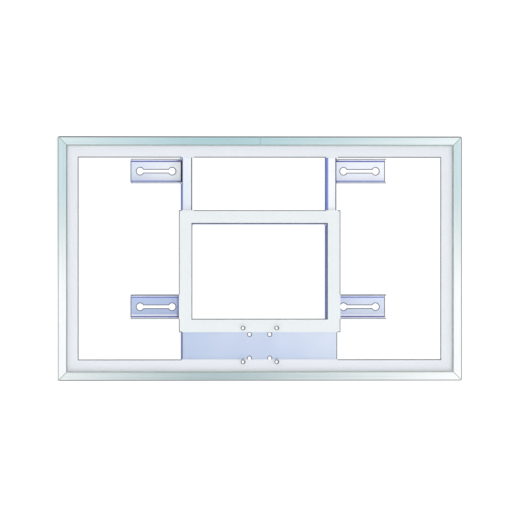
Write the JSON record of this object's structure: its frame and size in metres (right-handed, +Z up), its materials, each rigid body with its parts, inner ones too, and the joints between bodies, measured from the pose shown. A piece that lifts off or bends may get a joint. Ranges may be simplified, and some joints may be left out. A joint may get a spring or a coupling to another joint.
{
  "type": "basketball backboard",
  "caption": "Rectangular clear glass basketball backboard with white border and target lines, an aluminium edge frame and a welded steel back frame with slotted mounting brackets.",
  "frame": {"origin": "centre of the support bolt pattern, on the rear face of the four mounting brackets", "axes": "+X to the right seen from the playing side, +Y to the rear, out of the brackets towards the support, +Z up"},
  "size_m": [1.524, 0.0778, 0.9144],
  "materials": {
    "clear_glass": "clear toughened, polished",
    "white_ink": "fired white ink, satin",
    "frame_aluminium": "satin anodised extrusion",
    "edge_rubber": "matt extruded channel",
    "key_aluminium": "sawn bar",
    "zinc_steel": "zinc plated",
    "back_frame_paint": "pale blue-grey powder coat over steel",
    "dark_nylon": "turned nylon",
    "pad_rubber": "cut strip"
  },
  "bodies": {
    "root": {"glass_panel": "clear_glass", "border_print": "white_ink", "target_print": "white_ink", "frame_left": "frame_aluminium", "frame_right": "frame_aluminium", "frame_bottom": "frame_aluminium", "frame_top_left": "frame_aluminium", "frame_top_right": "frame_aluminium", "gasket_left": "edge_rubber", "gasket_right": "edge_rubber", "gasket_top": "edge_rubber", "gasket_bottom": "edge_rubber", "corner_key_top_left": "key_aluminium", "corner_key_top_right": "key_aluminium", "corner_key_bottom_left": "key_aluminium", "corner_key_bottom_right": "key_aluminium", "top_splice_bar": "key_aluminium", "corner_key_screws": "zinc_steel", "splice_screws": "zinc_steel", "clip_nut_bars": "zinc_steel", "clip_bolts": "zinc_steel", "clip_washers": "zinc_steel", "upright_left": "back_frame_paint", "upright_right": "back_frame_paint", "cross_tube": "back_frame_paint", "goal_plate": "back_frame_paint", "bracket_upper_left": "back_frame_paint", "bracket_upper_right": "back_frame_paint", "bracket_lower_left": "back_frame_paint", "bracket_lower_right": "back_frame_paint", "frame_clip_top_left": "back_frame_paint", "frame_clip_top_right": "back_frame_paint", "frame_clip_bottom_left": "back_frame_paint", "frame_clip_bottom_right": "back_frame_paint", "weld_beads": "back_frame_paint", "goal_sleeves": "dark_nylon", "upright_pad_left": "pad_rubber", "upright_pad_right": "pad_rubber", "cross_pad": "pad_rubber", "goal_pad_upper": "pad_rubber", "goal_pad_lower": "pad_rubber"}
  },
  "joints": []
}
